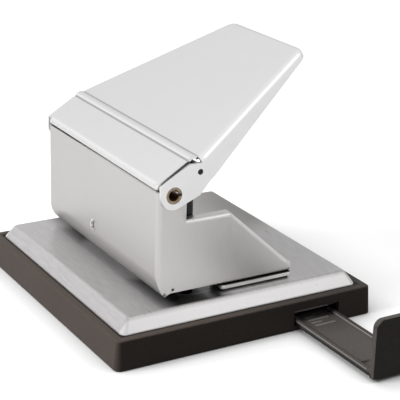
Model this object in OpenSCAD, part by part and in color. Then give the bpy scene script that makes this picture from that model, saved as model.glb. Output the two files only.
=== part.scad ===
// Two-hole desk punch: folded steel housing on a bevelled plate, tapered lever, chip tray and paper stop.
// Millimetres. The origin is the middle of the underside. +X points to the side with the stop rail,
// +Y from the paper's entry to the back, and +Z up. The lever is up and the stop stands at half of a sheet.
// The spacing of the two holes is the size that the widths of tray, plate, housing and lever follow.

/* [Chip tray] */
// How far the tray reaches beyond the holes at each side
base_side = 19; // [17:0.5:23]
// Depth of the tray from front to back
base_d = 112.6; // [108:0.2:120]
// Radius of the tray's upright corners
base_corner_r = 2.5; // [2:0.1:4]
// Height of the tray's rim
tray_h = 11.4; // [10.5:0.1:13]
// Thickness of the tray's walls
tray_wall = 2.4; // [1.8:0.1:3]
// Thickness of the tray's floor
tray_floor = 1.6; // [1.2:0.1:2]
// How far the walls lean in over their height
tray_draft = 0.8; // [0.2:0.1:1.2]
// Height of the inward rim that grips the plate's skirt
rim_h = 2.6; // [2:0.1:3]
// Rounding of the rim's outer edge
rim_round = 0.6; // [0.4:0.1:1]

/* [Base plate] */
// Thickness of the plate
plate_t = 1.2; // [0.8:0.1:1.5]
// Distance of the plate's skirt from the tray's outside
skirt_inset = 4.7; // [4:0.1:5]
// Distance of the flat top from the tray's outside
top_inset = 8.2; // [7.6:0.1:9]
// Radius of the skirt's upright corners
skirt_corner_r = 2.4; // [1.6:0.1:3]
// Radius of the flat top's corners
top_corner_r = 1.2; // [0.8:0.1:2]
// Height of the flat top above the table
plate_top = 16.65; // [15.5:0.05:18]
// Height of the skirt's lower edge above the table
skirt_bottom = 4.8; // [4.7:0.1:5.6]
// Outer radius of the plate's bends
plate_bend_r = 1.6; // [1.5:0.1:1.7]

/* [Housing] */
// How far the housing's sides stand outside the holes
housing_side = 6.7; // [6.4:0.1:9]
// Thickness of the housing's sheet
housing_t = 1.2; // [0.8:0.1:1.5]
// Where the front wall stands
front_y = -33.84; // [-36:0.02:-32]
// Radius of the housing's upright corners
housing_corner_r = 1.8; // [1.6:0.1:3]
// Height of the front wall's top above the plate
front_h = 43.4; // [42:0.1:44]
// Radius of the curved-in lip
lip_r = 13; // [11:0.5:15]
// Angle that the lip turns through
lip_angle = 42; // [36:1:46]
// Height of the lip's edge above the plate
lip_gap = 2.55; // [2:0.05:3.4]
// Height of the paper throat
throat_h = 3.6; // [3.2:0.1:4.4]
// Where the side walls end at the back
rear_y = 24.9; // [22:0.1:28]
// Height of the side walls' rear tip above the plate
rear_tip_h = 5.9; // [5.4:0.1:7]
// Where the notch in the side walls starts
notch_y = -22; // [-22.6:0.1:-21.5]
// Height of the side walls' shelf above the plate
shelf_h = 31.15; // [29:0.05:33]
// Where the shelf turns down into the slope
shelf_end_y = -2.8; // [-5:0.1:0]
// Depth of the stiffening flange on shelf and slope
flange_d = 4; // [3.5:0.1:4.1]
// Inner radius of the flange's bend
flange_inner_r = 0.2; // [0.1:0.1:0.6]
// Outer radius of the feet's bend
foot_bend_r = 1.6; // [1.5:0.1:2]
// Radius of the relief hole beside the lip
relief_r = 0.55; // [0.3:0.05:0.7]
// Distance of the relief hole behind the front wall
relief_back = 6.9; // [6.6:0.1:8]
// Height of the relief hole's middle above the throat
relief_rise = 1.25; // [1:0.05:2]
// Distance of the centre mark from the middle
mark_x = -4.7; // [-8:0.1:8]
// Radius of the crescent centre mark
mark_r = 2.1; // [1.5:0.1:2.5]
// Height of the crescent centre mark over the wall
mark_proud = 0.7; // [0.2:0.05:0.9]

/* [Spacers and rivets] */
// Height of the spacers
spacer_h = 2.58; // [2.2:0.02:2.8]
// Width of the spacers and of the feet on them
spacer_w = 9.4; // [8.4:0.1:11]
// Radius of the spacers' front corners
spacer_corner_r = 1.4; // [0.8:0.1:3]
// Height of the step under the spacers
spacer_step_h = 0.7; // [0.4:0.05:1]
// How far the step under the spacers lies inside them
spacer_step = 0.6; // [0.3:0.1:0.8]
// Where the spacers' front ends stop the paper
stop_y = -6; // [-8:0.1:-4]
// Diameter of the rivets' shanks
rivet_d = 3; // [2.4:0.1:3.4]
// Diameter of the rivets' heads
rivet_head_d = 5.4; // [4.4:0.1:5.8]
// Height of the rivets' heads
rivet_head_h = 1.1; // [0.8:0.1:1.5]
// Distance of the front rivets behind the paper stop
rivet_front = 9; // [7:0.5:11]
// Distance between front and rear rivets
rivet_pitch = 15; // [12:0.5:17]

/* [Punches] */
// Distance between the two holes
hole_spacing = 80; // [78:0.5:81]
// Distance of the holes from the paper's edge
hole_margin = 12; // [11:0.1:13]
// Diameter of the punched holes
punch_d = 6; // [5:0.1:6.4]
// Length of the full cutting diameter
punch_len = 9; // [8:0.5:12]
// Diameter of the punches' stems
stem_d = 4.6; // [4:0.1:4.9]
// Diameter of the punches' heads
head_d = 9; // [8:0.5:9]
// Thickness of the punches' heads
head_h = 2; // [1.5:0.1:2.5]
// Depth of the hollow in the cutting ends
cup_depth = 0.9; // [0.4:0.1:1.2]
// How far the cutting ends sit back in their guide
tip_back = 0.3; // [0.1:0.05:0.5]
// Outside diameter of the dies
die_d = 9; // [8.4:0.1:10]
// Diameter of the dies' flanges
die_flange_d = 12; // [11:0.5:14]
// Thickness of the dies' flanges
die_flange_h = 1.4; // [1:0.1:2]
// Depth of the dies below the plate
die_depth = 4.2; // [3.5:0.1:5]

/* [Punch guide and springs] */
// Thickness of the guide channel
guide_t = 1.6; // [1.2:0.1:1.8]
// Height of the guide channel's upper face above the plate
guide_top_h = 25.35; // [24:0.05:27]
// How far the channel's flanges reach behind the punches
guide_reach = 9; // [7:0.5:10]
// Outer radius of the channel's bends
guide_bend_r = 2.6; // [2.2:0.1:3]
// Wire diameter of the springs
wire_d = 0.9; // [0.7:0.05:1]
// Outside diameter of the springs
spring_d = 8.9; // [8.6:0.1:9.2]
// Curls of each spring
spring_curls = 6; // [5:1:7]
// Diameter of the springs' seat washers
washer_d = 9.6; // [9.4:0.1:10.4]
// Thickness of the springs' seat washers
washer_h = 0.8; // [0.6:0.1:1]
// Outside diameter of the retaining clips
clip_d = 8; // [7.4:0.1:8.6]
// Thickness of the retaining clips
clip_h = 0.8; // [0.6:0.1:1]
// Depth of the groove that holds a clip
groove_depth = 0.5; // [0.3:0.05:0.7]

/* [Lever] */
// Thickness of the lever's sheet
lever_t = 1.2; // [0.8:0.1:1.4]
// Gap between the lever's ears and the housing
ear_gap = 0.4; // [0.3:0.05:0.6]
// Distance of the pivot behind the front wall
pivot_back = 5.74; // [5.5:0.02:6]
// How far the pivot lies below the front wall's top
pivot_drop = 1.1; // [0.8:0.1:1.4]
// Outside diameter of the hollow axle
axle_d = 6.3; // [5.6:0.1:6.5]
// Wall of the hollow axle
axle_wall = 1; // [0.7:0.1:1.2]
// Width of the axle's open seam
axle_seam = 0.9; // [0.5:0.1:1.2]
// Radius of the ears round the pivot
ear_r = 5.4; // [5:0.1:5.8]
// Distance of the ears' top edge under the lid's surface
ear_drop = 0.7; // [0.4:0.1:1]
// How far the lid's front stands before the housing
lid_proud = 0.26; // [0.1:0.02:0.5]
// Gap between the housing's front wall and the lid
lid_gap = 1.1; // [0.8:0.1:1.6]
// Height of the lid's rolled front edge
lid_roll_h = 2; // [1.9:0.1:2.4]
// Outer radius of the lid's rolled front edge
lid_roll_r = 2.4; // [2:0.1:2.8]
// Slope of the lid
lid_slope = 31.5; // [30:0.5:33]
// Length of the lid from front to back
lid_len = 12.2; // [12:0.1:12.6]
// How far the lid's sides stand inside the housing's sides
lid_inset = 0.2; // [0.2:0.1:0.8]
// Run of the bead between lid and handle
bead_run = 3.9; // [3.6:0.1:4.4]
// Rise from the lid to the handle under the bead
bead_rise = 1.3; // [1:0.1:1.5]
// Height of the bead above its chord
bead_h = 1; // [0.7:0.1:1.3]
// Slope of the handle
handle_slope = 26.5; // [25:0.5:28]
// Length of the handle behind the bead
handle_len = 65.2; // [60:0.2:70]
// Half width of the handle at its end
handle_end_hw = 25.3; // [22:0.1:30]
// Radius of the handle's end corners
handle_corner_r = 5; // [4:0.5:7]
// Length of the handle's straight part beside the ears
crease_u = 1.9; // [1.6:0.1:2.4]
// Radius of the crease between ears and flanks
crease_r = 4; // [3:0.5:5]
// Outer radius of the handle's folded edges
handle_bend_r = 2.2; // [1.8:0.1:2.6]
// Depth of the flanks at the ears
flank_d0 = 10.4; // [9.5:0.1:11]
// Depth of the flanks at the handle's end
flank_d1 = 3.6; // [3:0.1:4.4]
// Where the ears' lower edge turns up, behind the pivot
ear_knee_y = 10.7; // [10:0.1:11.4]
// Where the ears' lower edge turns up, below the pivot
ear_knee_z = 1.35; // [1:0.05:2]
// Diameter of the presser rod
rod_d = 5; // [4:0.1:5.4]
// Diameter of the rod's spigots in the ears
rod_spigot_d = 2.2; // [1.8:0.1:2.6]
// How far the rod lies behind the punches
rod_lead = 0.5; // [0.2:0.1:0.8]
// Gap between the rod and the underside of the handle
rod_gap = 1.47; // [1.1:0.01:1.8]
// How far the rod's spigots sit back in their holes
spigot_back = 0.4; // [0.2:0.1:0.6]

/* [Stop rail] */
// Distance of the stop plate from the middle
rail_stop_x = 105; // [102:0.5:110]
// Length of the rail from the stop plate inwards
rail_len = 114.5; // [110:0.5:116]
// Width of the rail
rail_w = 18.8; // [17:0.2:20]
// Distance of the rail's middle from the tray's back
rail_back = 26.1; // [25:0.1:27]
// Thickness of the rail's floor
rail_floor = 1.2; // [1:0.1:1.4]
// Height of the rail over its edges
rail_h = 2.4; // [2:0.1:2.6]
// Width of the rail's raised edges
rail_edge = 1.2; // [0.8:0.1:1.6]
// Thickness of the stop plate
stop_t = 2.2; // [1.8:0.1:3]
// Width of the stop plate
stop_w = 20.4; // [19:0.2:26]
// Height of the stop plate
stop_h = 22.8; // [20:0.1:26]
// Radius of the stop plate's upper corners
stop_corner_r = 3.2; // [2:0.1:5]
// Height of the stop plate's lower edge above the table
stop_bottom = 1.2; // [0.6:0.1:1.6]
// Size of the small recess in the rail's floor
recess_size = 4.2; // [3:0.1:5]
// Distance of the recess from the stop plate
recess_back = 4.8; // [3:0.1:7]
// Depth of the small recess
recess_depth = 0.8; // [0.4:0.1:0.9]
// Number of raised marks on the rail's floor
mark_count = 4; // [2:1:6]
// Distance between the raised marks
mark_pitch = 2.4; // [2:0.1:4]
// Distance of the first raised mark from the stop plate
mark_start = 41; // [36:0.5:46]
// Height of the raised marks
mark_h = 0.3; // [0.2:0.05:0.5]
// Height of the tray's slot above the floor
slot_h = 6.2; // [5.8:0.1:7]
// Free width of the tray's slot beside the rail
slot_side_gap = 1; // [0.6:0.1:1.4]

/* [Hidden] */
$fn = 64;
// Gap all round between the tray's rim and the plate's skirt
tray_gap = 0.3;
// Sliding gap between parts that slide past each other
slide_gap = 0.2;
// Radial gap of seated pins, rivets and bushes
fit_gap = 0.02;
// Radial running gap of shafts and punches
run_gap = 0.05;
// Gap between the presser rod and the punch heads
press_gap = 0.15;
// Gap between the lip's inside and the guide channel
guide_gap = 0.6;
// Overlap of cutting bodies past a face
past = 1;
// Overlap that joins two stretches of one sheet
seam = 0.2;
// Least count of steps in a bend of sheet metal, and the count for each millimetre of its radius
bend_count = 6;
bend_count_per_mm = 2.4;
// Count of steps in the curve of the housing's lip
lip_count = 14;
// How far the front's sheet runs back along the sides
side_return = 5;
// Bevel of the tray's lower edge
tray_foot = 0.2;
// Radius of the upright corners inside the tray
tray_inner_r = 0.8;
// Width of the ribs that carry the skirt, and how far they reach past it
skirt_rib_w = 6;
skirt_rib_reach = 2;
// Thickness of the ribs that guide the rail, their lips over its edges and their distance from the wall
rail_rib_t = 1.6;
rail_rib_lip = 1;
rail_rib_lip_h = 1.4;
rail_rib_end = 6;
// Angle that the lid's skirt runs round its corners
lid_skirt_turn = 48;
// Radius of the housing's sides round the pivot, under the lid
housing_ear_r = 4.6;

// Places worked out from the sizes above, with heights measured from the plate's top
base_w = hole_spacing + 2 * base_side;
wall_x = hole_spacing / 2 + housing_side;
punch_y = stop_y - hole_margin;
pivot_y = front_y + pivot_back;
pivot_h = front_h - pivot_drop;
lip_axis_h = lip_gap + lip_r * sin(lip_angle);
lip_back = lip_r * (1 - cos(lip_angle));
flange_bend_r = housing_t + flange_inner_r;
ear_x = wall_x + ear_gap + lever_t;
foot_h = spacer_h;
slope_angle = atan((shelf_h - rear_tip_h) / (rear_y - shelf_end_y));
rail_z = tray_floor + slide_gap;
rail_y = base_d / 2 - rail_back;
rail_front = rail_y - rail_w / 2;
guide_front_y = front_y + lip_back + housing_t * cos(lip_angle) + guide_gap;
guide_rear_y = punch_y + guide_reach;
tip_h = throat_h + tip_back;
clip_top_h = guide_top_h - guide_t - slide_gap;
washer_top_h = clip_top_h - clip_h;
spring_bottom_h = throat_h + guide_t + run_gap;
spring_top_h = washer_top_h - washer_h - run_gap;
rod_y = punch_y + rod_lead;
lid_front_y = front_y - lid_proud;
lid_low_h = front_h + lid_gap;
lid_hw = wall_x - lid_inset;
bead_start = [lid_front_y + lid_len, lid_low_h + lid_roll_h + lid_len * tan(lid_slope)];
handle_start = bead_start + [bead_run, bead_rise];
over_rod_h = handle_start[1] + (rod_y - handle_start[0]) * tan(handle_slope);
rod_h = over_rod_h - (lever_t + rod_gap + rod_d / 2) / cos(handle_slope);
head_top_h = rod_h - rod_d / 2 - press_gap;
taper = atan((ear_x - handle_end_hw) / (handle_len - crease_u));
crease_c = [ear_x - crease_r, crease_u - crease_r * tan(taper / 2)];
end_c_u = handle_len - handle_corner_r;
end_c = [ear_x - (handle_corner_r + (end_c_u - crease_u) * sin(taper)) / cos(taper), end_c_u];

function unit(v) = v / norm(v);
function left_of(v) = [-v[1], v[0]];
function polar(r, a) = [r * cos(a), r * sin(a)];
// Point of the handle's side view, from its run along the handle and its height over it
function on_handle(u, n) = handle_start
    + [u * cos(handle_slope) - n * sin(handle_slope), u * sin(handle_slope) + n * cos(handle_slope)];
// Lower tangent point on a circle, seen from a point outside it
function lower_tangent(c, r, q) = c + polar(r, atan2(q[1] - c[1], q[0] - c[0]) - acos(r / norm(q - c)));
// Height of the lid's upper face at a place from front to back
function lid_h(y) = lid_low_h + lid_roll_h + (y - lid_front_y) * tan(lid_slope);

module on_plate() {
    translate([0, 0, plate_top]) children();
}

// Repeats a piece on both sides, mirrored
module both_sides() {
    children();
    mirror([1, 0, 0]) children();
}

// Turns an outline drawn in Y and Z into a slab from one X to another
module side_slab(x0, x1) {
    translate([x0, 0, 0]) rotate([90, 0, 90]) linear_extrude(x1 - x0) children();
}

// Turns an outline drawn in X and Z into a bar from one Y to another
module long_bar(y0, y1) {
    translate([0, y1, 0]) rotate([90, 0, 0]) linear_extrude(y1 - y0) children();
}

module rod_along_x(x0, x1, d) {
    translate([x0, 0, 0]) rotate([0, 90, 0]) cylinder(h = x1 - x0, d = d);
}

// Count of steps in a bend of a given radius
function bend_steps(r) = max(bend_count, ceil(r * bend_count_per_mm));
// Points along an arc, both ends included
function arc(c, r, a0, a1, steps) = let (n = is_undef(steps) ? bend_steps(r) : steps)
    [for (i = [0:n]) c + polar(r, a0 + (a1 - a0) * i / n)];

// Outline of a folded sheet seen on its edge. The points run along its outer face, and bends turn left.
function folded(points, t, r) = let (
    last = len(points) - 1,
    dirs = [for (i = [0:last - 1]) unit(points[i + 1] - points[i])],
    starts = [for (d = dirs) atan2(d[1], d[0]) - 90],
    turns = [for (i = [1:last - 1]) atan2(cross(dirs[i - 1], dirs[i]), dirs[i - 1] * dirs[i])],
    centres = [
        for (i = [1:last - 1])
            let (d = dirs[i - 1]) points[i] - d * r * tan(turns[i - 1] / 2) + left_of(d) * r
    ]
) concat(
    [points[0]],
    [for (i = [0:last - 2]) each arc(centres[i], r, starts[i], starts[i] + turns[i])],
    [points[last], points[last] + left_of(dirs[last - 1]) * t],
    [for (i = [last - 2:-1:0]) each arc(centres[i], r - t, starts[i] + turns[i], starts[i])],
    [points[0] + left_of(dirs[0]) * t]
);

module folded_sheet(points, t, r) {
    polygon(folded(points, t, r));
}

// Points of a rounded rectangle at one height, a distance inside the tray's outside
function ring(inset, z, r) = let (x = base_w / 2 - inset - r, y = base_d / 2 - inset - r) [
    for (k = [0:3])
        let (centre = [(k % 3 == 0 ? 1 : -1) * x, (k < 2 ? 1 : -1) * y])
            each [for (p = arc(centre, r, 90 * k, 90 * k + 90, bend_count)) [p[0], p[1], z]]
];

// Closed skin over a row of rings, with a flat face at each end
module ring_loft(rings) {
    n = len(rings[0]);
    last = len(rings) - 1;
    walls = [
        for (j = [0:last - 1], i = [0:n - 1])
            let (next = (i + 1) % n) [j * n + i, (j + 1) * n + i, (j + 1) * n + next, j * n + next]
    ];
    ends = [[for (i = [0:n - 1]) i], [for (i = [n - 1:-1:0]) last * n + i]];
    polyhedron([for (q = rings) each q], concat(walls, ends));
}

// The tray's rings: up its leaning outside, round the rim's edge, and down inside to the floor
function tray_rings() = let (
    lean = atan(tray_draft / tray_h),
    round_z = tray_h - rim_round,
    round_inset = (rim_round + round_z * sin(lean)) / cos(lean),
    rim_inset = skirt_inset - tray_gap,
    rim_r = skirt_corner_r + tray_gap
) concat(
    [ring(tray_foot, 0, base_corner_r - tray_foot), ring(0, tray_foot, base_corner_r)],
    [for (p = arc([-round_inset, round_z], rim_round, lean, 90)) ring(-p[0], p[1], base_corner_r + p[0])],
    [
        ring(rim_inset, tray_h, rim_r), ring(rim_inset, tray_h - rim_h, rim_r),
        ring(tray_wall, tray_h - rim_h - rim_inset + tray_wall, tray_inner_r),
        ring(tray_wall, tray_floor, tray_inner_r)
    ]
);

module chip_tray() {
    rail_rib_x = base_w / 2 - tray_wall - rail_rib_end;
    rib_y = rail_w / 2 + slide_gap;
    rib_z = tray_floor - seam;
    lip_z = rail_z + rail_h + slide_gap;
    color([0.17, 0.15, 0.14]) {
        difference() {
            ring_loft(tray_rings());
            translate([base_w / 2 - tray_wall - past, rail_front - slot_side_gap, tray_floor])
                cube([tray_wall + 2 * past, rail_w + 2 * slot_side_gap, slot_h]);
        }
        // Ribs that the plate's skirt stands on
        for (k = [0:3], side = [-1, 1]) {
            a = k % 2 == 0 ? base_w : base_d;
            along = k % 2 == 0 ? -base_d / 4 + side * base_d / 8 : side * base_w / 4;
            turned = k == 2 ? -along : along;
            reach = skirt_inset + plate_t + skirt_rib_reach;
            rotate([0, 0, 90 * k]) translate([a / 2 - reach, turned - skirt_rib_w / 2, rib_z])
                cube([reach - tray_wall / 2, skirt_rib_w, skirt_bottom - rib_z]);
        }
        // Ribs that guide the rail and hold it down
        for (side = [-1, 1])
            translate([0, rail_y, 0]) mirror([0, side < 0 ? 1 : 0, 0]) {
                translate([-rail_rib_x, rib_y, rib_z])
                    cube([2 * rail_rib_x, rail_rib_t, lip_z + rail_rib_lip_h - rib_z]);
                translate([-rail_rib_x, rib_y - rail_rib_lip, lip_z])
                    cube([2 * rail_rib_x, rail_rib_lip + rail_rib_t, rail_rib_lip_h]);
            }
    }
}

// The plate's rings, along the folded edge of its sheet: out under the top, down the skirt and up outside
function plate_rings() = let (
    edge = folded([
        [-skirt_inset, skirt_bottom], [-skirt_inset, tray_h],
        [-top_inset, plate_top], [-top_inset - plate_bend_r, plate_top]
    ], plate_t, plate_bend_r),
    n = len(edge),
    corners = [[skirt_inset, skirt_corner_r], [top_inset, top_corner_r]]
) [
    for (i = [0:n - 1])
        let (p = edge[(i + n / 2) % n]) ring(-p[0], p[1], lookup(-p[0], corners))
];

module base_plate() {
    color([0.66, 0.66, 0.66]) difference() {
        ring_loft(plate_rings());
        translate([0, 0, plate_top - plate_t - past]) {
            at_punches() cylinder(h = plate_t + 2 * past, d = die_d + 2 * fit_gap);
            at_rivets() cylinder(h = plate_t + 2 * past, d = rivet_d + 2 * fit_gap);
        }
    }
}

module at_punch(side) {
    translate([side * hole_spacing / 2, punch_y, 0]) children();
}

module at_punches() {
    for (side = [-1, 1]) at_punch(side) children();
}

module at_rivets() {
    for (side = [-1, 1], row = [0, 1])
        translate([side * (wall_x - spacer_w / 2), stop_y + rivet_front + row * rivet_pitch, 0]) children();
}

module die(side) {
    color([0.35, 0.35, 0.36]) on_plate() at_punch(side) difference() {
        union() {
            translate([0, 0, -die_depth]) cylinder(h = die_depth, d = die_d);
            translate([0, 0, -plate_t - die_flange_h]) cylinder(h = die_flange_h, d = die_flange_d);
        }
        translate([0, 0, -die_depth - past]) cylinder(h = die_depth + 2 * past, d = punch_d + 2 * run_gap);
    }
}

// Plan of a spacer, a distance inside its edges
module spacer_plan(side, inset) {
    r = spacer_corner_r;
    half = spacer_w / 2 - inset;
    front = stop_y + inset;
    translate([side * (wall_x - spacer_w / 2), 0]) polygon(concat(
        [[half, rear_y - inset], [-half, rear_y - inset]],
        arc([r - half, front + r], r, 180, 270), arc([half - r, front + r], r, 270, 360)
    ));
}

module spacer(side) {
    color([0.75, 0.75, 0.74]) on_plate() difference() {
        union() {
            linear_extrude(spacer_step_h + seam) spacer_plan(side, spacer_step);
            translate([0, 0, spacer_step_h]) linear_extrude(spacer_h - spacer_step_h) spacer_plan(side, 0);
        }
        at_rivets() translate([0, 0, -past]) cylinder(h = spacer_h + 2 * past, d = rivet_d + 2 * fit_gap);
    }
}

// Outline of a side wall, which laps under the front's corner and the folded edges by a seam
module side_outline() {
    edge_drop = flange_bend_r + seam;
    front = front_y + side_return + seam;
    slope_drop = edge_drop / cos(slope_angle);
    shelf_end = shelf_end_y + (edge_drop - slope_drop) / tan(slope_angle);
    foot_start = [stop_y + seam, foot_h + foot_bend_r + seam];
    polygon(concat(
        [[front, front_h]],
        arc([pivot_y, pivot_h], housing_ear_r, 180 - asin((front_h - pivot_h) / housing_ear_r), 0),
        [
            [notch_y, pivot_h - housing_ear_r], [notch_y, shelf_h - edge_drop],
            [shelf_end, shelf_h - edge_drop], [rear_y, rear_tip_h - slope_drop],
            [rear_y, foot_start[1]], foot_start, [foot_start[0], throat_h], [front, throat_h]
        ]
    ));
}

// One row of the front's sheet from end to end, t inside its outer face, where the lip has turned by an
// angle. It runs round the upright corners, and below the throat it stops at the lip's slanted ends.
function front_row(turn, lift, t) = let (
    r = housing_corner_r - t,
    steps = bend_steps(housing_corner_r),
    start = lip_r - (lip_r - t) * cos(turn),
    outer_h = lip_axis_h + lift - lip_r * sin(turn),
    depth = side_return + past,
    reach = lip_back + (depth - lip_back) * (outer_h - lip_gap) / (throat_h - lip_gap),
    stop = max(min(reach, depth), start + seam / 2),
    centre = [wall_x - housing_corner_r, front_y + housing_corner_r],
    rounding = (housing_corner_r - start) / r,
    right = rounding > 0.05
        ? concat(arc(centre, r, -asin(min(rounding, 1)), 0, steps), [[wall_x - t, front_y + depth]])
        : [for (k = [0:steps + 1]) [wall_x - t, front_y + start + (stop - start) * k / (steps + 1)]],
    h = lip_axis_h + lift - (lip_r - t) * sin(turn)
) concat(
    [for (i = [len(right) - 1:-1:0]) [-right[i][0], right[i][1], h]],
    [for (p = right) [p[0], p[1], h]]
);

// Front wall with its round corners, and the lip that curves in below and meets them in a crease
module front_shell() {
    turns = concat([[0, front_h - lip_axis_h]], [for (k = [0:lip_count]) [lip_angle * k / lip_count, 0]]);
    rows = [for (q = turns, t = [0, housing_t]) front_row(q[0], q[1], t)];
    n = len(rows[0]);
    last = len(turns) - 1;
    // Index of a point, from its row, its face of the sheet and its place along the row
    function at(row, face, i) = (2 * row + face) * n + i;
    skins = [
        for (j = [0:last - 1], i = [0:n - 2], face = [0, 1])
            let (a = i + face, b = i + 1 - face)
                [at(j, face, a), at(j, face, b), at(j + 1, face, b), at(j + 1, face, a)]
    ];
    edges = [
        for (j = [0, last], i = [0:n - 2])
            let (a = j == 0 ? i : i + 1, b = 2 * i + 1 - a)
                [at(j, 0, a), at(j, 1, a), at(j, 1, b), at(j, 0, b)]
    ];
    ends = [
        for (j = [0:last - 1], i = [0, n - 1])
            let (a = i == 0 ? 1 : 0, b = 1 - a) [at(j, a, i), at(j, b, i), at(j + 1, b, i), at(j + 1, a, i)]
    ];
    polyhedron([for (q = rows) each q], concat(skins, edges, ends));
}

// Flange along the shelf and down the slope of the left wall
module edge_flange() {
    outline = [[flange_d - wall_x, 0], [-wall_x, 0], [-wall_x, -flange_bend_r - past]];
    slope_len = norm([rear_y - shelf_end_y, shelf_h - rear_tip_h]);
    translate([0, shelf_end_y, shelf_h]) {
        long_bar(notch_y - shelf_end_y, 0) folded_sheet(outline, housing_t, flange_bend_r);
        rotate([-slope_angle, 0, 0])
            long_bar(0, slope_len) folded_sheet(outline, housing_t, flange_bend_r);
    }
}

module housing() {
    foot_plan = [[-wall_x, foot_h + flange_d], [-wall_x, foot_h], [spacer_w - wall_x, foot_h]];
    color([0.8, 0.8, 0.79]) on_plate() difference() {
        union() {
            front_shell();
            both_sides() {
                side_slab(-wall_x, housing_t - wall_x) side_outline();
                edge_flange();
                long_bar(stop_y, rear_y) folded_sheet(foot_plan, housing_t, foot_bend_r);
            }
            translate([mark_x, front_y + housing_t / 2, lip_axis_h + mark_r]) rotate([90, 0, 0])
                linear_extrude(housing_t / 2 + mark_proud) difference() {
                    circle(mark_r);
                    translate([mark_r / 2, 0]) circle(mark_r);
                }
        }
        translate([0, pivot_y, pivot_h])
            rod_along_x(-wall_x - past, wall_x + past, axle_d + 2 * fit_gap);
        translate([0, front_y + relief_back, throat_h + relief_rise])
            rod_along_x(-wall_x - past, wall_x + past, 2 * relief_r);
        at_rivets() cylinder(h = 2 * foot_h, d = rivet_d + 2 * fit_gap);
    }
}

module foot_rivets() {
    top = foot_h + housing_t;
    color([0.7, 0.7, 0.7]) on_plate() at_rivets() {
        translate([0, 0, -plate_t]) cylinder(h = plate_t + top, d = rivet_d);
        translate([0, 0, top]) cylinder(h = rivet_head_h, d1 = rivet_head_d, d2 = rivet_d);
        translate([0, 0, -plate_t - rivet_head_h])
            cylinder(h = rivet_head_h, d1 = rivet_d, d2 = rivet_head_d);
    }
}

module guide_channel() {
    half = wall_x - housing_t;
    outline = [
        [guide_rear_y, guide_top_h], [guide_front_y, guide_top_h],
        [guide_front_y, throat_h], [guide_rear_y, throat_h]
    ];
    color([0.07, 0.07, 0.07]) on_plate() difference() {
        side_slab(-half, half) folded_sheet(outline, guide_t, guide_bend_r);
        at_punches() {
            translate([0, 0, throat_h - past]) cylinder(h = guide_t + 2 * past, d = punch_d + 2 * run_gap);
            translate([0, 0, guide_top_h - guide_t - past])
                cylinder(h = guide_t + 2 * past, d = stem_d + 2 * run_gap);
        }
    }
}

module pivot_axle() {
    half = ear_x - slide_gap;
    color([0.42, 0.32, 0.22]) on_plate() translate([0, pivot_y, pivot_h]) difference() {
        rod_along_x(-half, half, axle_d);
        rod_along_x(-half - past, half + past, axle_d - 2 * axle_wall);
        translate([-half - past, 0, -axle_seam / 2]) cube([2 * half + 2 * past, axle_d, axle_seam]);
    }
}

module punch(side) {
    color([0.1, 0.1, 0.1]) on_plate() at_punch(side) difference() {
        union() {
            translate([0, 0, tip_h]) cylinder(h = punch_len, d = punch_d);
            translate([0, 0, tip_h]) cylinder(h = head_top_h - tip_h, d = stem_d);
            translate([0, 0, head_top_h - head_h]) cylinder(h = head_h, d = head_d);
        }
        translate([0, 0, tip_h - past]) cylinder(h = past + cup_depth, d1 = punch_d - past, d2 = past);
        translate([0, 0, washer_top_h - fit_gap]) difference() {
            cylinder(h = clip_h + 2 * fit_gap, d = punch_d);
            translate([0, 0, -past]) cylinder(h = clip_h + 2 * past, d = stem_d - 2 * groove_depth);
        }
    }
}

module seat_washer(side) {
    bottom = washer_top_h - washer_h;
    color([0.72, 0.72, 0.72]) on_plate() at_punch(side) translate([0, 0, bottom]) difference() {
        cylinder(h = washer_h, d = washer_d);
        translate([0, 0, -past]) cylinder(h = washer_h + 2 * past, d = stem_d + 2 * run_gap);
    }
}

module clip(side) {
    bore = stem_d - 2 * groove_depth + 2 * fit_gap;
    color([0.3, 0.3, 0.32]) on_plate() at_punch(side) translate([0, 0, washer_top_h]) difference() {
        cylinder(h = clip_h, d = clip_d);
        translate([0, 0, -past]) cylinder(h = clip_h + 2 * past, d = bore);
        translate([-bore / 2, 0, -past]) cube([bore, clip_d, clip_h + 2 * past]);
    }
}

// Springs: a ring of points for every eighth of a curl, with a straight stub at each end
curl_ring_count = 8;
wire_side_count = 6;
coil_r = (spring_d - wire_d) / 2;
coil_bottom = spring_bottom_h + wire_d;
coil_top = spring_top_h - wire_d;
coil_count = spring_curls * curl_ring_count;
coil_rings = concat(
    [[0, spring_bottom_h, 90], [0, coil_bottom, 90]],
    [
        for (i = [1:coil_count - 1])
            [360 * i / curl_ring_count, coil_bottom + (coil_top - coil_bottom) * i / coil_count, 0]
    ],
    [[360 * spring_curls, coil_top, 90], [360 * spring_curls, spring_top_h, 90]]
);
function ring_centre(q) = [coil_r * cos(q[0]), coil_r * sin(q[0]), q[1]];
// One point of a wire ring, from the ring's angle, height and upright turn, and the place round the wire
function ring_point(q, k) = let (
    out = [cos(q[0]), sin(q[0]), 0],
    across = [sin(q[0]) * -sin(q[2]), cos(q[0]) * sin(q[2]), -cos(q[2])],
    a = 360 * k / wire_side_count
) ring_centre(q) + (out * cos(a) + across * sin(a)) * wire_d / 2;
coil_last = len(coil_rings) - 1;
coil_gap = min([
    for (i = [0:coil_last], j = [0:coil_last]) if (j - i >= curl_ring_count - 2)
        norm(ring_centre(coil_rings[i]) - ring_centre(coil_rings[j])) - wire_d
]);
echo(str("least gap of a spring to itself, mm: ", coil_gap));

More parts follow.
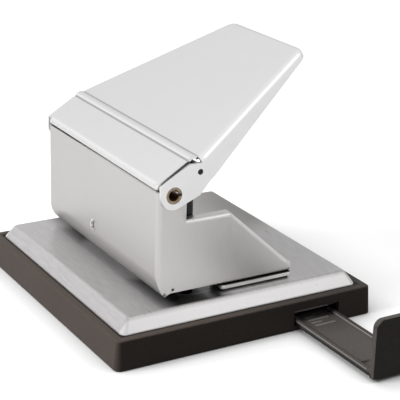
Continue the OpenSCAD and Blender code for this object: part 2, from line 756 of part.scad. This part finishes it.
module spring(side) {
    points = [for (q = coil_rings, k = [0:wire_side_count - 1]) ring_point(q, k)];
    walls = [
        for (i = [0:coil_last - 1], k = [0:wire_side_count - 1], half = [0, 1])
            let (a = i * wire_side_count, b = a + wire_side_count, n = (k + 1) % wire_side_count)
                half == 0 ? [a + k, b + k, b + n] : [a + k, b + n, a + n]
    ];
    end = coil_last * wire_side_count;
    caps = [
        for (k = [1:wire_side_count - 2], top = [0, 1])
            top == 0 ? [0, k, k + 1] : [end, end + k + 1, end + k]
    ];
    color([0.6, 0.6, 0.6]) on_plate() at_punch(side) polyhedron(points, concat(walls, caps));
}

// Right half of the handle's plan: places on its outer edge from ear to end, and the angle each faces
function handle_rows() = concat(
    [[[ear_x, 0], 0]],
    [for (k = [0:2]) let (a = taper * k / 2) [crease_c + polar(crease_r, a), a]],
    [
        for (k = [0:bend_count])
            let (a = taper + (90 - taper) * k / bend_count) [end_c + polar(handle_corner_r, a), a]
    ]
);

// Handle: a flat panel with its edges folded down, deeper at the ears than at the end
module handle() {
    right = handle_rows();
    left = [for (i = [len(right) - 1:-1:0]) [[-right[i][0][0], right[i][0][1]], 180 - right[i][1]]];
    rows = concat(right, left);
    last = len(rows) - 1;
    r = handle_bend_r;
    // The sheet's outline: place inwards from the edge and height over the panel, its lower edge left open
    steps = bend_steps(r);
    outline = concat(
        [[0, undef]], arc([r, -r], r, 180, 90, steps),
        arc([r, -r], r - lever_t, 90, 180, steps), [[lever_t, undef]]
    );
    n = len(outline);
    panel = n / 2 - 1;
    points = [
        for (q = rows, p = outline)
            let (at = q[0] - polar(p[0], q[1]), low = flank_d0 + (flank_d1 - flank_d0) * at[1] / handle_len)
                [at[0], at[1], is_undef(p[1]) ? -low : p[1]]
    ];
    edges = [
        for (i = [0:last - 1], k = [0:n - 1]) if (k != panel)
            [i * n + k, i * n + (k + 1) % n, (i + 1) * n + (k + 1) % n, (i + 1) * n + k]
    ];
    fronts = [
        for (k = [0:panel - 1], side = [0, 1])
            let (face = [k, n - 1 - k, n - 2 - k, k + 1])
                [for (j = [0:3]) side == 0 ? face[j] : last * n + face[3 - j]]
    ];
    panels = [
        [for (i = [last:-1:0]) i * n + panel],
        [for (i = [0:last]) i * n + panel + 1],
        [panel, panel + 1, last * n + panel + 1, last * n + panel]
    ];
    polyhedron(points, concat(edges, fronts, panels));
}

// Outline of an ear in side view
module ear_outline() {
    pivot = [pivot_y, pivot_h];
    knee = pivot + [ear_knee_y, -ear_knee_z];
    front = pivot_y - ear_r;
    drop = ear_drop / cos(lid_slope);
    difference() {
        union() {
            polygon([
                pivot, [front, pivot_h], [front, lid_h(front) - drop], bead_start - [0, drop],
                on_handle(seam, -handle_bend_r - seam),
                on_handle(crease_c[1] - seam, -handle_bend_r - seam),
                on_handle(crease_c[1] - seam, seam - flank_d0), knee, lower_tangent(pivot, ear_r, knee)
            ]);
            translate(pivot) circle(ear_r);
        }
        translate(pivot) circle(d = axle_d + 2 * run_gap);
        translate([rod_y, rod_h]) circle(d = rod_spigot_d + 2 * fit_gap);
    }
}

// Lid with its rolled front, cut to the housing's round corners
module lid() {
    r = housing_corner_r;
    back_y = bead_start[1] + past;
    corner = [lid_hw - r, lid_front_y + r];
    skirt = lid_skirt_turn - 90;
    plan = concat([[0, lid_front_y]], arc(corner, r, -90, 0), [[lid_hw, back_y], [0, back_y]]);
    intersection() {
        side_slab(-lid_hw, lid_hw) folded_sheet(
            [bead_start, [lid_front_y, lid_h(lid_front_y)], [lid_front_y, lid_low_h]], lever_t, lid_roll_r);
        linear_extrude(back_y) both_sides() polygon(plan);
    }
    intersection() {
        translate([0, 0, lid_low_h]) linear_extrude(bead_start[1] - lid_low_h)
            both_sides() polygon(concat(arc(corner, r, -90, skirt), arc(corner, r - lever_t, skirt, -90)));
        side_slab(-lid_hw, lid_hw) polygon([
            [lid_front_y, 0], [lid_front_y, lid_h(lid_front_y)], bead_start, [bead_start[0], 0]
        ]);
    }
}

// Raised bead between lid and handle
module bead() {
    chord = handle_start - bead_start;
    width = norm(chord);
    r = width * width / (8 * bead_h) + bead_h / 2;
    side_slab(-lid_hw, lid_hw) translate(bead_start) rotate(atan2(chord[1], chord[0])) intersection() {
        translate([width / 2, bead_h - r]) difference() {
            circle(r);
            circle(r - lever_t);
        }
        translate([-past, -lever_t]) square([width + 2 * past, lever_t + 2 * bead_h]);
    }
}

module lever() {
    color([0.88, 0.88, 0.88]) on_plate() {
        lid();
        bead();
        translate([0, handle_start[0], handle_start[1]]) rotate([handle_slope, 0, 0]) handle();
        both_sides() side_slab(ear_x - lever_t, ear_x) ear_outline();
    }
}

module presser_rod() {
    half = ear_x - lever_t - slide_gap;
    tip = ear_x - spigot_back;
    color([0.5, 0.5, 0.5]) on_plate() translate([0, rod_y, rod_h]) {
        rod_along_x(-half, half, rod_d);
        rod_along_x(-tip, tip, rod_spigot_d);
    }
}

module stop_rail() {
    inner_x = rail_stop_x - rail_len;
    recess_x = rail_stop_x - recess_back - recess_size;
    color([0.25, 0.23, 0.22]) {
        translate([0, rail_front, rail_z]) difference() {
            translate([inner_x, 0, 0]) cube([rail_len, rail_w, rail_h]);
            translate([inner_x - past, rail_edge, rail_floor])
                cube([rail_len + past, rail_w - 2 * rail_edge, rail_h]);
            translate([recess_x, 2 * rail_edge, rail_floor - recess_depth])
                cube([recess_size, recess_size, rail_h]);
        }
        for (k = [0:mark_count - 1])
            translate([rail_stop_x - mark_start - k * mark_pitch, rail_y - rail_w / 4, rail_z + rail_floor])
                cube([rail_edge, rail_w / 2 * (k % 2 == 0 ? 1 : 1 / 2), mark_h]);
        side_slab(rail_stop_x, rail_stop_x + stop_t) translate([rail_front, stop_bottom]) union() {
            square([stop_w, stop_h - stop_corner_r]);
            translate([stop_corner_r, 0]) square([stop_w - 2 * stop_corner_r, stop_h]);
            for (y = [stop_corner_r, stop_w - stop_corner_r])
                translate([y, stop_h - stop_corner_r]) circle(stop_corner_r);
        }
    }
}

chip_tray();
base_plate();
die(-1);  // left_die
die(1);  // right_die
spacer(-1);  // left_spacer
spacer(1);  // right_spacer
housing();
foot_rivets();
guide_channel();
pivot_axle();
punch(-1);  // left_punch
punch(1);  // right_punch
spring(-1);  // left_spring
spring(1);  // right_spring
seat_washer(-1);  // left_seat_washer
seat_washer(1);  // right_seat_washer
clip(-1);  // left_clip
clip(1);  // right_clip
lever();
presser_rod();
stop_rail();
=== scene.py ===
import math

import bpy
from mathutils import Matrix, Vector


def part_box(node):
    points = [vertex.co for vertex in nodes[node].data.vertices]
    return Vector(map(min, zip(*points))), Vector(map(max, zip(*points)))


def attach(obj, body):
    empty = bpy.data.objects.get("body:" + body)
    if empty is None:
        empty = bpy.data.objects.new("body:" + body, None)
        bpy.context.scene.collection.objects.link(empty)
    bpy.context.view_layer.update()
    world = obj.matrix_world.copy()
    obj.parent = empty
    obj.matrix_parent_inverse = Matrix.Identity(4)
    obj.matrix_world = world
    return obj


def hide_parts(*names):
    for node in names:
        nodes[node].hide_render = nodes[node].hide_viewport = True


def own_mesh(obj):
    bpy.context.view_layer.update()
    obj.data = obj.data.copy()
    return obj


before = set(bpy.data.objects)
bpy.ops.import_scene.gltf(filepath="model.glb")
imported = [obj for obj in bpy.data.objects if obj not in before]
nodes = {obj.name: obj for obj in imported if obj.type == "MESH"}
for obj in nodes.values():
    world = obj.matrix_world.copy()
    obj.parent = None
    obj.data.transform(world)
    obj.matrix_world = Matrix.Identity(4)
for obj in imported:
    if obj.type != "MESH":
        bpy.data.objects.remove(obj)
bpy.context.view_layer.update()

# Chip tray: a moulded cap of dark brown-grey plastic that closes the underside and catches the chips.
# Its walls lean in a little so that it leaves the mould, and its rim grips the skirt of the base plate.
# Painted shade darkens the seam between rim and skirt, and the paper stop slides through a slot in its right
# wall.


def start_material(name):
    """An empty material with its Principled shader and a Texture Coordinate node."""
    material = bpy.data.materials.new(name)
    material.use_nodes = True
    tree = material.node_tree
    shader = tree.nodes["Principled BSDF"]
    coords = tree.nodes.new("ShaderNodeTexCoord")
    return material, tree, shader, coords


def ramp(tree, source, low, high, dark, light):
    """Turns a mask into a colour that runs from dark to light between two levels."""
    node = tree.nodes.new("ShaderNodeValToRGB")
    node.color_ramp.elements[0].position = low
    node.color_ramp.elements[0].color = (*dark, 1)
    node.color_ramp.elements[1].position = high
    node.color_ramp.elements[1].color = (*light, 1)
    tree.links.new(source, node.inputs["Fac"])
    return node.outputs["Color"]


def span(tree, source, low, high):
    """Turns a mask into a value between low and high."""
    node = tree.nodes.new("ShaderNodeMapRange")
    node.inputs["To Min"].default_value = low
    node.inputs["To Max"].default_value = high
    tree.links.new(source, node.inputs["Value"])
    return node.outputs["Result"]


def bump(tree, shader, source, strength, distance):
    """Raises the surface a little where the mask is bright."""
    node = tree.nodes.new("ShaderNodeBump")
    node.inputs["Strength"].default_value = strength
    node.inputs["Distance"].default_value = distance
    tree.links.new(source, node.inputs["Height"])
    tree.links.new(node.outputs["Normal"], shader.inputs["Normal"])


def noise(tree, vector, scale, detail):
    """A noise texture; its scale may be a number or a socket."""
    node = tree.nodes.new("ShaderNodeTexNoise")
    if isinstance(scale, (int, float)):
        node.inputs["Scale"].default_value = scale
    else:
        tree.links.new(scale, node.inputs["Scale"])
    node.inputs["Detail"].default_value = detail
    tree.links.new(vector, node.inputs["Vector"])
    return node.outputs["Fac"]


# Two masks that every finish here uses: wide cloudy patches, and a fine grain
grain_group = bpy.data.node_groups.new("surface_grain", "ShaderNodeTree")
for socket, kind in (("Vector", "Vector"), ("Patch Scale", "Float"), ("Grain Scale", "Float")):
    grain_group.interface.new_socket(socket, in_out="INPUT", socket_type="NodeSocket" + kind)
for socket in ("Patches", "Grain"):
    grain_group.interface.new_socket(socket, in_out="OUTPUT", socket_type="NodeSocketFloat")
group_in = grain_group.nodes.new("NodeGroupInput")
group_out = grain_group.nodes.new("NodeGroupOutput")
for mask, detail in (("Patch", 3.0), ("Grain", 4.0)):
    source = noise(grain_group, group_in.outputs["Vector"], group_in.outputs[mask + " Scale"], detail)
    grain_group.links.new(source, group_out.inputs["Patches" if mask == "Patch" else "Grain"])


def grain(tree, coords, patch_scale, grain_scale, stretch=(1, 1, 1)):
    """Places the grain group; stretch draws it out along a rolling or brushing direction."""
    mapping = tree.nodes.new("ShaderNodeMapping")
    mapping.inputs["Scale"].default_value = stretch
    tree.links.new(coords.outputs["Object"], mapping.inputs["Vector"])
    group = tree.nodes.new("ShaderNodeGroup")
    group.node_tree = grain_group
    group.inputs["Patch Scale"].default_value = patch_scale
    group.inputs["Grain Scale"].default_value = grain_scale
    tree.links.new(mapping.outputs["Vector"], group.inputs["Vector"])
    return group.outputs["Patches"], group.outputs["Grain"]


def moulded_plastic(name, dark, light, rough):
    """Plastic with the fine spark-eroded grain of its mould."""
    material, tree, shader, coords = start_material(name)
    patches, specks = grain(tree, coords, 35, 1900)
    tree.links.new(ramp(tree, specks, 0.3, 0.7, dark, light), shader.inputs["Base Color"])
    tree.links.new(span(tree, patches, rough - 0.06, rough + 0.08), shader.inputs["Roughness"])
    shader.inputs["Specular IOR Level"].default_value = 0.06
    bump(tree, shader, specks, 0.3, 0.00008)
    return material


def wear(node, material):
    """Gives a CAD piece its finish."""
    nodes[node].data.materials.clear()
    nodes[node].data.materials.append(material)


def smooth_copy(node, name, body, material):
    """A copy of a CAD piece whose bends shade smoothly while its flat faces stay flat."""
    piece = bpy.data.objects.new(name, nodes[node].data.copy())
    bpy.context.collection.objects.link(piece)
    bpy.ops.object.select_all(action="DESELECT")
    piece.select_set(True)
    bpy.context.view_layer.objects.active = piece
    bpy.ops.object.mode_set(mode="EDIT")
    bpy.ops.mesh.select_all(action="SELECT")
    bpy.ops.mesh.remove_doubles(threshold=0.000002)
    bpy.ops.object.mode_set(mode="OBJECT")
    bpy.ops.object.shade_smooth_by_angle(angle=math.radians(35))
    flat_faces = piece.modifiers.new("flat_faces", "WEIGHTED_NORMAL")
    flat_faces.keep_sharp = True
    bpy.ops.object.modifier_apply(modifier="flat_faces")
    piece.data.materials.clear()
    piece.data.materials.append(material)
    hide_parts(node)
    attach(piece, body)


# A mask for the part of a piece inside a box, with a soft border: for painted shade, painted highlights and
# oil films.
# A box side at this distance, in metres, lies beyond every piece.
far = 1
region_group = bpy.data.node_groups.new("soft_region", "ShaderNodeTree")
for socket, kind in (("Vector", "Vector"), ("Low", "Vector"), ("High", "Vector"), ("Border", "Float")):
    region_group.interface.new_socket(socket, in_out="INPUT", socket_type="NodeSocket" + kind)
region_group.interface.new_socket("Inside", in_out="OUTPUT", socket_type="NodeSocketFloat")
group_in = region_group.nodes.new("NodeGroupInput")
group_out = region_group.nodes.new("NodeGroupOutput")
depths = []
for first, second in (("Vector", "Low"), ("High", "Vector")):
    depth = region_group.nodes.new("ShaderNodeVectorMath")
    depth.operation = "SUBTRACT"
    region_group.links.new(group_in.outputs[first], depth.inputs[0])
    region_group.links.new(group_in.outputs[second], depth.inputs[1])
    depths.append(depth.outputs["Vector"])
nearest = region_group.nodes.new("ShaderNodeVectorMath")
nearest.operation = "MINIMUM"
region_group.links.new(depths[0], nearest.inputs[0])
region_group.links.new(depths[1], nearest.inputs[1])
axes = region_group.nodes.new("ShaderNodeSeparateXYZ")
region_group.links.new(nearest.outputs["Vector"], axes.inputs["Vector"])
least = axes.outputs["X"]
for axis in ("Y", "Z"):
    lower = region_group.nodes.new("ShaderNodeMath")
    lower.operation = "MINIMUM"
    region_group.links.new(least, lower.inputs[0])
    region_group.links.new(axes.outputs[axis], lower.inputs[1])
    least = lower.outputs["Value"]
fade = region_group.nodes.new("ShaderNodeMapRange")
fade.interpolation_type = "SMOOTHSTEP"
region_group.links.new(least, fade.inputs["Value"])
region_group.links.new(group_in.outputs["Border"], fade.inputs["From Max"])
region_group.links.new(fade.outputs["Result"], group_out.inputs["Inside"])


def region(tree, vector, low, high, border):
    """Places the region group, with its box in metres."""
    group = tree.nodes.new("ShaderNodeGroup")
    group.node_tree = region_group
    group.inputs["Low"].default_value = low
    group.inputs["High"].default_value = high
    group.inputs["Border"].default_value = border
    tree.links.new(vector, group.inputs["Vector"])
    return group.outputs["Inside"]


def cover(material, mask, colour):
    """Lays a colour over a finish where the mask is 1."""
    tree = material.node_tree
    base = tree.nodes["Principled BSDF"].inputs["Base Color"]
    mix = tree.nodes.new("ShaderNodeMixRGB")
    tree.links.new(mask, mix.inputs["Fac"])
    tree.links.new(base.links[0].from_socket, mix.inputs["Color1"])
    mix.inputs["Color2"].default_value = (*colour, 1)
    tree.links.new(mix.outputs["Color"], base)


def place(material):
    """The Object coordinates of a finish."""
    return material.node_tree.nodes["Texture Coordinate"].outputs["Object"]


tray_plastic = moulded_plastic("tray_plastic", (0.053, 0.043, 0.037), (0.073, 0.06, 0.053), 0.5)
rim_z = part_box("chip_tray")[1].z
seam_x, seam_y, seam_depth, seam_fade = 0.0554, 0.0527, 0.0004, 0.0003
# Painted shade: a dark band along the top of the rim, in the seam under the plate's skirt.
rim_seam_shade = region(tray_plastic.node_tree, place(tray_plastic), (-seam_x, -seam_y, rim_z - seam_depth),
                  (seam_x, seam_y, far), seam_fade)
seam_shade_brown = (0.012, 0.01, 0.009)
cover(tray_plastic, rim_seam_shade, seam_shade_brown)
smooth_copy("chip_tray", "tray_shell", "tray", tray_plastic)

# Base plate: one pressed sheet of satin steel with a bevel all round, whose skirt sits inside the tray's rim.
# Housing, spacers and dies are fixed to its flat top. Dark patches round the dies are partly spread oil,
# partly painted shade; painted shade darkens the back, mostly on the left, and a painted highlight lightens
# the side bevels.


def steel(name, dark, light, rough, metallic, stretch=(1, 1, 1)):
    """Sheet or bar steel with faint patches and the fine lines of rolling or brushing."""
    material, tree, shader, coords = start_material(name)
    patches, lines = grain(tree, coords, 28, 900, stretch)
    blend = tree.nodes.new("ShaderNodeMix")
    blend.inputs["Factor"].default_value = 0.6
    tree.links.new(patches, blend.inputs["A"])
    tree.links.new(lines, blend.inputs["B"])
    tree.links.new(ramp(tree, blend.outputs["Result"], 0.36, 0.64, dark, light), shader.inputs["Base Color"])
    tree.links.new(span(tree, lines, rough - 0.06, rough + 0.06), shader.inputs["Roughness"])
    shader.inputs["Metallic"].default_value = metallic
    bump(tree, shader, lines, 0.1, 0.00003)
    return material


plate_steel = steel("plate_steel", (0.36, 0.35, 0.352), (0.44, 0.43, 0.43), 0.3, 0.6, (0.15, 1, 1))
tree = plate_steel.node_tree
axes = tree.nodes.new("ShaderNodeSeparateXYZ")
tree.links.new(place(plate_steel), axes.inputs["Vector"])
outward = tree.nodes.new("ShaderNodeMath")
outward.operation = "ABSOLUTE"
tree.links.new(axes.outputs["X"], outward.inputs[0])
folded = tree.nodes.new("ShaderNodeCombineXYZ")
tree.links.new(outward.outputs["Value"], folded.inputs["X"])
tree.links.new(axes.outputs["Y"], folded.inputs["Y"])
both_sides = folded.outputs["Vector"]
flat_edge, film_edge_fade, highlight_overlap, highlight_fade = 0.0513, 0.0015, 0.0003, 0.001
film_in, film_out, film_front, film_back, film_fade = 0.016, 0.014, 0.0115, 0.012, 0.01
die_low, die_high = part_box("right_die")
# Dark patches round the dies: partly an oil film, partly painted shade inside the throat; kept off the side
# bevels.
die_film_and_shade = region(tree, both_sides, (die_low.x - film_in, die_low.y - film_front, -far),
              (die_high.x + film_out, die_high.y + film_back, far), film_fade)
flat = region(tree, both_sides, (-far, -far, -far), (flat_edge, far, far), film_edge_fade)
oil_and_shade = tree.nodes.new("ShaderNodeMath")
oil_and_shade.operation = "MULTIPLY"
tree.links.new(die_film_and_shade, oil_and_shade.inputs[0])
tree.links.new(flat, oil_and_shade.inputs[1])
cover(plate_steel, oil_and_shade.outputs["Value"], (0.025, 0.023, 0.022))
# Painted highlight: the side bevels are made lighter than the flat top.
bevel_highlight = region(tree, both_sides, (flat_edge - highlight_overlap, -far, -far), (far, far, far), highlight_fade)
cover(plate_steel, bevel_highlight, (0.6, 0.59, 0.59))
# Painted shade over the back of the plate, mostly on the left, under the lever.
shade_reach, shade_right, shade_front, shade_fade = 0.07, 0.006, 0.024, 0.024
rear_shade = region(tree, place(plate_steel), (-shade_reach, shade_front, -far),
                 (shade_right, shade_reach, far), shade_fade)
cover(plate_steel, rear_shade, (0.2, 0.19, 0.185))
smooth_copy("base_plate", "bevelled_plate", "frame", plate_steel)

# Dies: two hardened steel bushes, blackened by their heat treatment.
# They are pressed into the base plate from below, one under each punch.
blackened_steel = steel("blackened_steel", (0.018, 0.018, 0.019), (0.032, 0.032, 0.033), 0.42, 0.6)
for node in ("left_die", "right_die"):
    wear(node, blackened_steel)

# Spacers and rivets: two strips of bright bar under the housing's feet, whose front ends stop the paper.
# Cold-formed rivets go through foot, spacer and plate, and painted shade darkens the seams over and under the
# strips.
bright_steel = steel("bright_steel", (0.7, 0.7, 0.69), (0.8, 0.8, 0.79), 0.34, 1, (1, 0.2, 1))
wear("foot_rivets", bright_steel)
strip_steel = steel("strip_steel", (0.78, 0.78, 0.77), (0.86, 0.86, 0.85), 0.34, 1, (1, 0.2, 1))
low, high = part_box("right_spacer")
# Painted shade: dark bands along the top and bottom of each strip, in the seams under the foot and over the
# plate.
seam_above, seam_below = 0.0006, 0.0009
for seam_low, seam_high in ((high.z - seam_above, far), (-far, low.z + seam_below)):
    seam_shade = region(strip_steel.node_tree, place(strip_steel), (-far, -far, seam_low),
                  (far, far, seam_high), seam_fade)
    cover(strip_steel, seam_shade, (0.02, 0.02, 0.02))
for node in ("left_spacer", "right_spacer"):
    wear(node, strip_steel)

# Housing: one folded sheet of satin-plated steel, with tight front corners and flanges along its cut edges.
# Its lip curves in over the paper throat, and its feet are riveted down on the spacers.
# The centre mark on its front is a raised tab with a painted highlight, and a narrow painted shade beside it.
housing_steel = steel("housing_steel", (0.57, 0.558, 0.551), (0.592, 0.58, 0.573), 0.4, 1, (1, 1, 0.2))
# Painted highlight on the raised tab of the centre mark, and a painted shade beside it.
mark_x, mark_y, mark_z = -0.0057, -0.033, 0.03
tab_left, tab_right, tab_half_h, tab_fade = 0.0014, 0.0001, 0.0021, 0.0001
tab_highlight = region(housing_steel.node_tree, place(housing_steel), (mark_x - tab_left, -far, mark_z - tab_half_h),
             (mark_x - tab_right, mark_y, mark_z + tab_half_h), tab_fade)
cover(housing_steel, tab_highlight, (0.95, 0.94, 0.93))
slit_w, slit_down, slit_up, slit_fade = 0.0007, 0.0011, 0.0009, 0.0002
slit_shade = region(housing_steel.node_tree, place(housing_steel), (mark_x, -far, mark_z - slit_down),
              (mark_x + slit_w, mark_y, mark_z + slit_up), slit_fade)
cover(housing_steel, slit_shade, (0.06, 0.06, 0.06))
smooth_copy("housing", "folded_housing", "frame", housing_steel)

# Punch guide: a channel of black painted sheet welded across the inside of the housing.
# A bore in each of its flanges holds a punch upright.
black_paint = steel("black_paint", (0.01, 0.01, 0.01), (0.018, 0.018, 0.018), 0.5, 0.1)
wear("guide_channel", black_paint)

# Punches: turned from tool steel and blackened, with a hollow cutting end and a round head.
# A clip in a groove of each stem holds the bright washer that the spring pushes up.
for side in ("left", "right"):
    wear(side + "_punch", blackened_steel)
    wear(side + "_clip", blackened_steel)
    wear(side + "_seat_washer", bright_steel)

# Springs: wound from drawn steel wire round the punches, with a closed turn at each end.
# They stand on the guide's lower flange, carry the seat washers, and shorten as the punches go down.
wire_d, coil_r = 0.0009, 0.004
active_turns = 6
turn_steps = 24
spring_wire = steel("spring_wire", (0.4, 0.4, 0.4), (0.5, 0.5, 0.5), 0.28, 0.95)
low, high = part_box("left_spring")
spring_x, spring_y = (low.x + high.x) / 2, (low.y + high.y) / 2
active_rise = high.z - low.z - 3 * wire_d
bpy.ops.object.select_all(action="DESELECT")
stretches = []
upper_start = wire_d + active_rise
for turns, rise, start in ((1, wire_d, 0), (active_turns, active_rise, wire_d), (1, wire_d, upper_start)):
    bpy.ops.mesh.primitive_circle_add(
        vertices=10, radius=wire_d / 2, rotation=(math.pi / 2, 0, 0),
        location=(spring_x + coil_r, spring_y, low.z + wire_d / 2 + start))
    stretch = bpy.context.object
    bpy.ops.object.transform_apply(location=False, rotation=True, scale=False)
    bpy.context.scene.cursor.location = (spring_x, spring_y, stretch.location.z)
    bpy.ops.object.origin_set(type="ORIGIN_CURSOR")
    winding = stretch.modifiers.new("winding", "SCREW")
    winding.axis = "Z"
    winding.steps = winding.render_steps = turn_steps
    winding.iterations = turns
    winding.screw_offset = rise / turns
    bpy.ops.object.modifier_apply(modifier="winding")
    stretches.append(stretch)
for stretch in stretches:
    stretch.select_set(True)
bpy.ops.object.join()
left_spring = bpy.context.object
left_spring.name = "left_coil"
bpy.ops.object.transform_apply(location=True, rotation=True, scale=True)
bpy.ops.object.mode_set(mode="EDIT")
bpy.ops.mesh.select_all(action="SELECT")
bpy.ops.mesh.remove_doubles(threshold=0.00001)
bpy.ops.mesh.fill_holes(sides=0)
bpy.ops.mesh.select_all(action="SELECT")
bpy.ops.mesh.normals_make_consistent(inside=False)
bpy.ops.object.mode_set(mode="OBJECT")
bpy.ops.object.shade_smooth_by_angle(angle=math.radians(50))
left_spring.data.materials.append(spring_wire)
bpy.ops.object.duplicate()
right_spring = bpy.context.object
right_spring.name = "right_coil"
right_spring.location.x = -2 * spring_x
bpy.ops.object.transform_apply(location=True, rotation=True, scale=True)
for side, spring, x in (("left", left_spring, spring_x), ("right", right_spring, -spring_x)):
    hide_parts(side + "_spring")
    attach(spring, "frame")
    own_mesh(spring)

# Pivot axle: a tube rolled from steel strip, with its seam left open and a brown patina.
# It is pressed into the housing's sides, and the lever's ears turn on its ends.
wear("pivot_axle", steel("axle_patina", (0.24, 0.17, 0.11), (0.42, 0.33, 0.24), 0.36, 0.9))

# Lever: one pressed sheet of light satin steel, with a lid over the housing, a bead and a tapered handle.
# Its folded flanks run forward into two ears that hang on the axle. Painted shade darkens the creases beside
# the bead, and the bends where they turn away.
lever_steel = steel("lever_steel", (0.785, 0.785, 0.785), (0.807, 0.807, 0.807), 0.4, 1, (1, 0.15, 0.15))
lever_shader = lever_steel.node_tree.nodes["Principled BSDF"]
lever_shader.inputs["Specular Tint"].default_value = (0.55, 0.55, 0.55, 1)
# Painted shade: dark lines along both creases of the bead.
bead_front, bead_back, bead_z = -0.0219, -0.018, 0.0712
bead_half_w, crease_half_w, crease_half_h, crease_fade = 0.0466, 0.00035, 0.0018, 0.0002
for crease in (bead_front, bead_back):
    crease_shade = region(
        lever_steel.node_tree, place(lever_steel),
        (-bead_half_w, crease - crease_half_w, bead_z - crease_half_h),
        (bead_half_w, crease + crease_half_w, bead_z + crease_half_h), crease_fade)
    cover(lever_steel, crease_shade, (0.44, 0.44, 0.44))
smooth_copy("lever", "pressed_lever", "lever", lever_steel)

# Presser rod: a blackened steel rod across the lever, with a spigot at each end in the ears' small holes.
# It pushes both punch heads down.
wear("presser_rod", blackened_steel)

# Stop rail: a moulded strip of the tray's plastic, with a painted highlight along the tops of its raised
# edges.
# It slides in the tray's slot, and its upturned end stops the sheet's side.
rail_plastic = moulded_plastic("rail_plastic", (0.06, 0.052, 0.048), (0.085, 0.077, 0.07), 0.4)
# Painted highlight along the tops of the rail's raised edges.
edge_top, edge_depth, edge_fade, stop_face = 0.0036, 0.0004, 0.0002, 0.103
edge_highlight = region(rail_plastic.node_tree, place(rail_plastic), (-far, -far, edge_top - edge_depth),
                (stop_face, far, edge_top + edge_depth), edge_fade)
cover(rail_plastic, edge_highlight, (0.22, 0.21, 0.2))
smooth_copy("stop_rail", "paper_stop", "rail", rail_plastic)

# Floor: a white table. The camera sees it white with the object's soft shadow on it, darkest along the foot,
# and the steel mirrors it a little less bright. It throws hardly any light back up at the object.


def by_ray(tree, bounced, mirrored, seen):
    """A value for light that bounces on, one for reflections, and one for what the camera sees directly."""
    path = tree.nodes.new("ShaderNodeLightPath")
    mirror = tree.nodes.new("ShaderNodeMath")
    mirror.operation = "MAXIMUM"
    tree.links.new(path.outputs["Is Glossy Ray"], mirror.inputs[0])
    tree.links.new(path.outputs["Is Transmission Ray"], mirror.inputs[1])
    value = span(tree, path.outputs["Is Camera Ray"], bounced, seen)
    tree.links.new(span(tree, mirror.outputs["Value"], bounced, mirrored), value.node.inputs["To Min"])
    return value


bpy.ops.object.select_all(action="DESELECT")
bpy.ops.mesh.primitive_plane_add(size=2, location=(0, 0, -0.0002))
floor = bpy.context.object
floor.name = "floor"
material, tree, shader, coords = start_material("floor_white")
tree.links.new(by_ray(tree, bounced=0.1, mirrored=0.45, seen=0.4), shader.inputs["Base Color"])
seen_glow = 0.8
glow = by_ray(tree, bounced=0.0, mirrored=0.5, seen=seen_glow)
foot_shade = tree.nodes.new("ShaderNodeAmbientOcclusion")
foot_shade.inputs["Distance"].default_value = 0.04
deeper = tree.nodes.new("ShaderNodeMath")
deeper.operation = "POWER"
tree.links.new(foot_shade.outputs["AO"], deeper.inputs[0])
deeper.inputs[1].default_value = 2.0
tree.links.new(span(tree, deeper.outputs["Value"], 0.0, seen_glow), glow.node.inputs["To Max"])
tree.links.new(glow, shader.inputs["Emission Strength"])
shader.inputs["Emission Color"].default_value = (1, 1, 1, 1)
shader.inputs["Roughness"].default_value = 0.9
shader.inputs["Specular IOR Level"].default_value = 0.0
floor.data.materials.append(material)

# Light: a soft key at the front, a dim soft box overhead, and two cards that the bevels and bends mirror.
# The surroundings are white where the steel mirrors them, and dim where they would only fill the shadows.
world = bpy.data.worlds.new("studio")
bpy.context.scene.world = world
world.use_nodes = True
tree = world.node_tree
back = tree.nodes["Background"]
back.inputs["Color"].default_value = (1, 1, 1, 1)
tree.links.new(by_ray(tree, bounced=0.05, mirrored=1.0, seen=1.0), back.inputs["Strength"])


def soft_lamp(name, stand, size, power):
    """A square lamp, in metres and watts, that faces the object."""
    bpy.ops.object.light_add(type="AREA", location=stand)
    lamp = bpy.context.object
    lamp.name = name
    lamp.data.shape = "SQUARE"
    lamp.data.size = size
    lamp.data.energy = power
    lamp.rotation_euler = (-lamp.location).to_track_quat("-Z", "Y").to_euler()
    return lamp


soft_lamp("soft_box", (0.0, -0.1, 1.1), 0.8, 5).visible_glossy = False
soft_lamp("key", (-0.1, -0.95, 0.72), 0.4, 18).visible_glossy = False
soft_lamp("left_card", (-0.96, -0.54, 0.4), 0.5, 0.3)
soft_lamp("rear_card", (0.62, 0.56, 0.72), 0.5, 1.0)

# Camera: solved from the photographed edges of base, housing and lever.
# It is given as degrees round the object, metres from its aim, and a lens in pixels of the photograph.
lens_px, photo_px, sensor_mm = 1364.443, 400, 36
aim_point, distance = (0.021234, -0.001203, 0.044031), 0.525799
azimuth, elevation, roll = (math.radians(angle) for angle in (59.077, 20.263, 1.733))
bpy.ops.object.camera_add()
camera = bpy.context.object
camera.name = "photo_camera"
camera.data.sensor_width = sensor_mm
camera.data.lens = lens_px / photo_px * sensor_mm
camera.data.clip_start = 0.01
facing = Matrix.Rotation(azimuth, 4, "Z") @ Matrix.Rotation(math.pi / 2 - elevation, 4, "X")
aim = Matrix.Translation(aim_point)
camera.matrix_world = aim @ facing @ Matrix.Rotation(roll, 4, "Z") @ Matrix.Translation((0, 0, distance))
bpy.context.scene.camera = camera
bpy.context.scene.view_settings.view_transform = "Standard"
